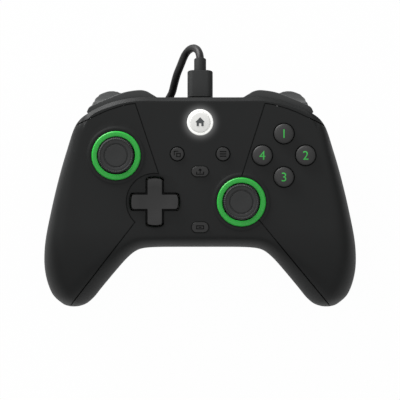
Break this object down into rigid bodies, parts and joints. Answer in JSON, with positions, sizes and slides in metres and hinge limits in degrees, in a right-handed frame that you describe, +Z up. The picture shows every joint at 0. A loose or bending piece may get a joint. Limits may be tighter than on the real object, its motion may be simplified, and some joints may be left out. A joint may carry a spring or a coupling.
{
  "type": "wired gamepad",
  "caption": "Wired gamepad with two thumb sticks, cross pad, face and system buttons, bumpers, sprung triggers, rumble weights and a coiled USB cable tucked under the body",
  "frame": {"origin": "middle of the body's bounding box at table height, under the grips, leaving out the cable", "axes": "+X to the player's right, +Y away from the player towards the cable, +Z up out of the face"},
  "size_m": [0.1528, 0.1288, 0.0584],
  "materials": {
    "shell_black": "fine matt texture",
    "button_grey": "satin",
    "bumper_grey": "gloss",
    "ring_green": "satin",
    "light_diffuser": "frosted",
    "cord_rubber": "matt",
    "steel": "bright",
    "silicone": "matt",
    "board": "solder mask",
    "inner_plastic": "plain",
    "thumb_rubber": "matt with a knurled rim"
  },
  "bodies": {
    "housing": {"center_faceplate": "shell_black", "left_front_panel": "shell_black", "right_front_panel": "shell_black", "back_shell": "shell_black", "left_stick_ring": "ring_green", "right_stick_ring": "ring_green", "home_light_ring": "light_diffuser", "left_trigger_bracket": "inner_plastic", "right_trigger_bracket": "inner_plastic", "bumper_switches": "inner_plastic", "button_switches": "inner_plastic", "left_stick_housing": "inner_plastic", "right_stick_housing": "inner_plastic", "dpad_post": "inner_plastic", "headset_jack": "inner_plastic", "trigger_pins": "steel", "trigger_springs": "steel", "bumper_pins": "steel", "left_rumble_motor": "steel", "right_rumble_motor": "steel", "usb_socket": "steel", "case_screws": "steel", "usb_plug_shell": "steel", "cord_plug_shell": "steel", "dpad_membrane": "silicone", "face_button_membrane": "silicone", "main_board": "board", "usb_plug": "cord_rubber", "plug_strain_relief": "cord_rubber", "cord_lead": "cord_rubber", "cord_coil": "cord_rubber", "cord_tie": "cord_rubber", "cord_tail": "cord_rubber", "cord_plug": "cord_rubber"},
    "left_stick_yoke": {"left_stick_yoke": "inner_plastic"},
    "left_stick_pivot": {"left_stick_pivot": "steel"},
    "left_stick_cap": {"left_stick_cap": "thumb_rubber", "left_stick_shaft": "steel"},
    "right_stick_yoke": {"right_stick_yoke": "inner_plastic"},
    "right_stick_pivot": {"right_stick_pivot": "steel"},
    "right_stick_cap": {"right_stick_cap": "thumb_rubber", "right_stick_shaft": "steel"},
    "dpad_ball": {"dpad_ball": "steel"},
    "dpad": {"dpad": "button_grey"},
    "face_button_top": {"face_button_top": "button_grey"},
    "face_button_left": {"face_button_left": "button_grey"},
    "face_button_right": {"face_button_right": "button_grey"},
    "face_button_bottom": {"face_button_bottom": "button_grey"},
    "view_button": {"view_button": "button_grey"},
    "menu_button": {"menu_button": "button_grey"},
    "share_button": {"share_button": "button_grey"},
    "profile_button": {"profile_button": "button_grey"},
    "home_button": {"home_button": "light_diffuser"},
    "right_bumper": {"right_bumper": "bumper_grey"},
    "left_bumper": {"left_bumper": "bumper_grey"},
    "right_trigger": {"right_trigger": "bumper_grey"},
    "left_trigger": {"left_trigger": "bumper_grey"},
    "right_rumble_weight": {"right_rumble_weight": "steel"},
    "left_rumble_weight": {"left_rumble_weight": "steel"}
  },
  "joints": [
    {"name": "left_stick_yoke_turn", "type": "hinge", "parent": "housing", "child": "left_stick_yoke", "pos_m": [-0.0411, 0.021, 0.0375], "axis": [1, 0, 0], "range_deg": [-18, 18], "stiffness_Nm_per_rad": 0.03},
    {"name": "left_stick_pivot_turn", "type": "hinge", "parent": "left_stick_yoke", "child": "left_stick_pivot", "pos_m": [-0.0411, 0.021, 0.0375], "axis": [0, 1, 0], "range_deg": [-18, 18], "stiffness_Nm_per_rad": 0.03},
    {"name": "left_stick_cap_press", "type": "slide", "parent": "left_stick_pivot", "child": "left_stick_cap", "axis": [0, 0, -1], "range_m": [0, 0.0005], "stiffness_N_per_m": 2000, "springref_m": -0.001},
    {"name": "right_stick_yoke_turn", "type": "hinge", "parent": "housing", "child": "right_stick_yoke", "pos_m": [0.0202, -0.0017, 0.0375], "axis": [1, 0, 0], "range_deg": [-18, 18], "stiffness_Nm_per_rad": 0.03},
    {"name": "right_stick_pivot_turn", "type": "hinge", "parent": "right_stick_yoke", "child": "right_stick_pivot", "pos_m": [0.0202, -0.0017, 0.0375], "axis": [0, 1, 0], "range_deg": [-18, 18], "stiffness_Nm_per_rad": 0.03},
    {"name": "right_stick_cap_press", "type": "slide", "parent": "right_stick_pivot", "child": "right_stick_cap", "axis": [0, 0, -1], "range_m": [0, 0.0005], "stiffness_N_per_m": 2000, "springref_m": -0.001},
    {"name": "dpad_ball_turn", "type": "hinge", "parent": "housing", "child": "dpad_ball", "pos_m": [-0.0222, -0.0016, 0.04], "axis": [1, 0, 0], "range_deg": [-4.5, 4.5], "stiffness_Nm_per_rad": 0.15, "deforming": ["dpad_membrane"]},
    {"name": "dpad_turn", "type": "hinge", "parent": "dpad_ball", "child": "dpad", "pos_m": [-0.0222, -0.0016, 0.04], "axis": [0, 1, 0], "range_deg": [-4.5, 4.5], "stiffness_Nm_per_rad": 0.15, "deforming": ["dpad_membrane"]},
    {"name": "face_button_top_press", "type": "slide", "parent": "housing", "child": "face_button_top", "axis": [0, 0, -1], "range_m": [0, 0.0015], "stiffness_N_per_m": 600, "springref_m": -0.001, "deforming": ["face_button_membrane"]},
    {"name": "face_button_left_press", "type": "slide", "parent": "housing", "child": "face_button_left", "axis": [0, 0, -1], "range_m": [0, 0.0015], "stiffness_N_per_m": 600, "springref_m": -0.001, "deforming": ["face_button_membrane"]},
    {"name": "face_button_right_press", "type": "slide", "parent": "housing", "child": "face_button_right", "axis": [0, 0, -1], "range_m": [0, 0.0015], "stiffness_N_per_m": 600, "springref_m": -0.001, "deforming": ["face_button_membrane"]},
    {"name": "face_button_bottom_press", "type": "slide", "parent": "housing", "child": "face_button_bottom", "axis": [0, 0, -1], "range_m": [0, 0.0015], "stiffness_N_per_m": 600, "springref_m": -0.001, "deforming": ["face_button_membrane"]},
    {"name": "view_button_press", "type": "slide", "parent": "housing", "child": "view_button", "axis": [0, 0, -1], "range_m": [0, 0.0005], "stiffness_N_per_m": 1500, "springref_m": -0.001},
    {"name": "menu_button_press", "type": "slide", "parent": "housing", "child": "menu_button", "axis": [0, 0, -1], "range_m": [0, 0.0005], "stiffness_N_per_m": 1500, "springref_m": -0.001},
    {"name": "share_button_press", "type": "slide", "parent": "housing", "child": "share_button", "axis": [0, 0, -1], "range_m": [0, 0.0005], "stiffness_N_per_m": 1500, "springref_m": -0.001},
    {"name": "profile_button_press", "type": "slide", "parent": "housing", "child": "profile_button", "axis": [0, 0, -1], "range_m": [0, 0.0005], "stiffness_N_per_m": 1500, "springref_m": -0.001},
    {"name": "home_button_press", "type": "slide", "parent": "housing", "child": "home_button", "axis": [0, 0, -1], "range_m": [0, 0.0005], "stiffness_N_per_m": 1500, "springref_m": -0.001},
    {"name": "right_bumper_turn", "type": "hinge", "parent": "housing", "child": "right_bumper", "pos_m": [0.0246, 0.0452, 0.038], "axis": [0, 0, 1], "range_deg": [-2, 0], "stiffness_Nm_per_rad": 1, "springref_deg": 2.86},
    {"name": "left_bumper_turn", "type": "hinge", "parent": "housing", "child": "left_bumper", "pos_m": [-0.0246, 0.0452, 0.038], "axis": [0, 0, 1], "range_deg": [0, 2], "stiffness_Nm_per_rad": 1, "springref_deg": -2.86},
    {"name": "right_trigger_turn", "type": "hinge", "parent": "housing", "child": "right_trigger", "pos_m": [0.0458, 0.0325, 0.026], "axis": [1, 0, 0], "range_deg": [-20, 0], "stiffness_Nm_per_rad": 0.08, "springref_deg": 17.19},
    {"name": "left_trigger_turn", "type": "hinge", "parent": "housing", "child": "left_trigger", "pos_m": [-0.0458, 0.0325, 0.026], "axis": [1, 0, 0], "range_deg": [-20, 0], "stiffness_Nm_per_rad": 0.08, "springref_deg": 17.19},
    {"name": "right_rumble_weight_turn", "type": "hinge", "parent": "housing", "child": "right_rumble_weight", "pos_m": [0.057, -0.025, 0.0155], "axis": [0, 1, 0], "continuous": true},
    {"name": "left_rumble_weight_turn", "type": "hinge", "parent": "housing", "child": "left_rumble_weight", "pos_m": [-0.057, -0.025, 0.0155], "axis": [0, 1, 0], "continuous": true}
  ]
}
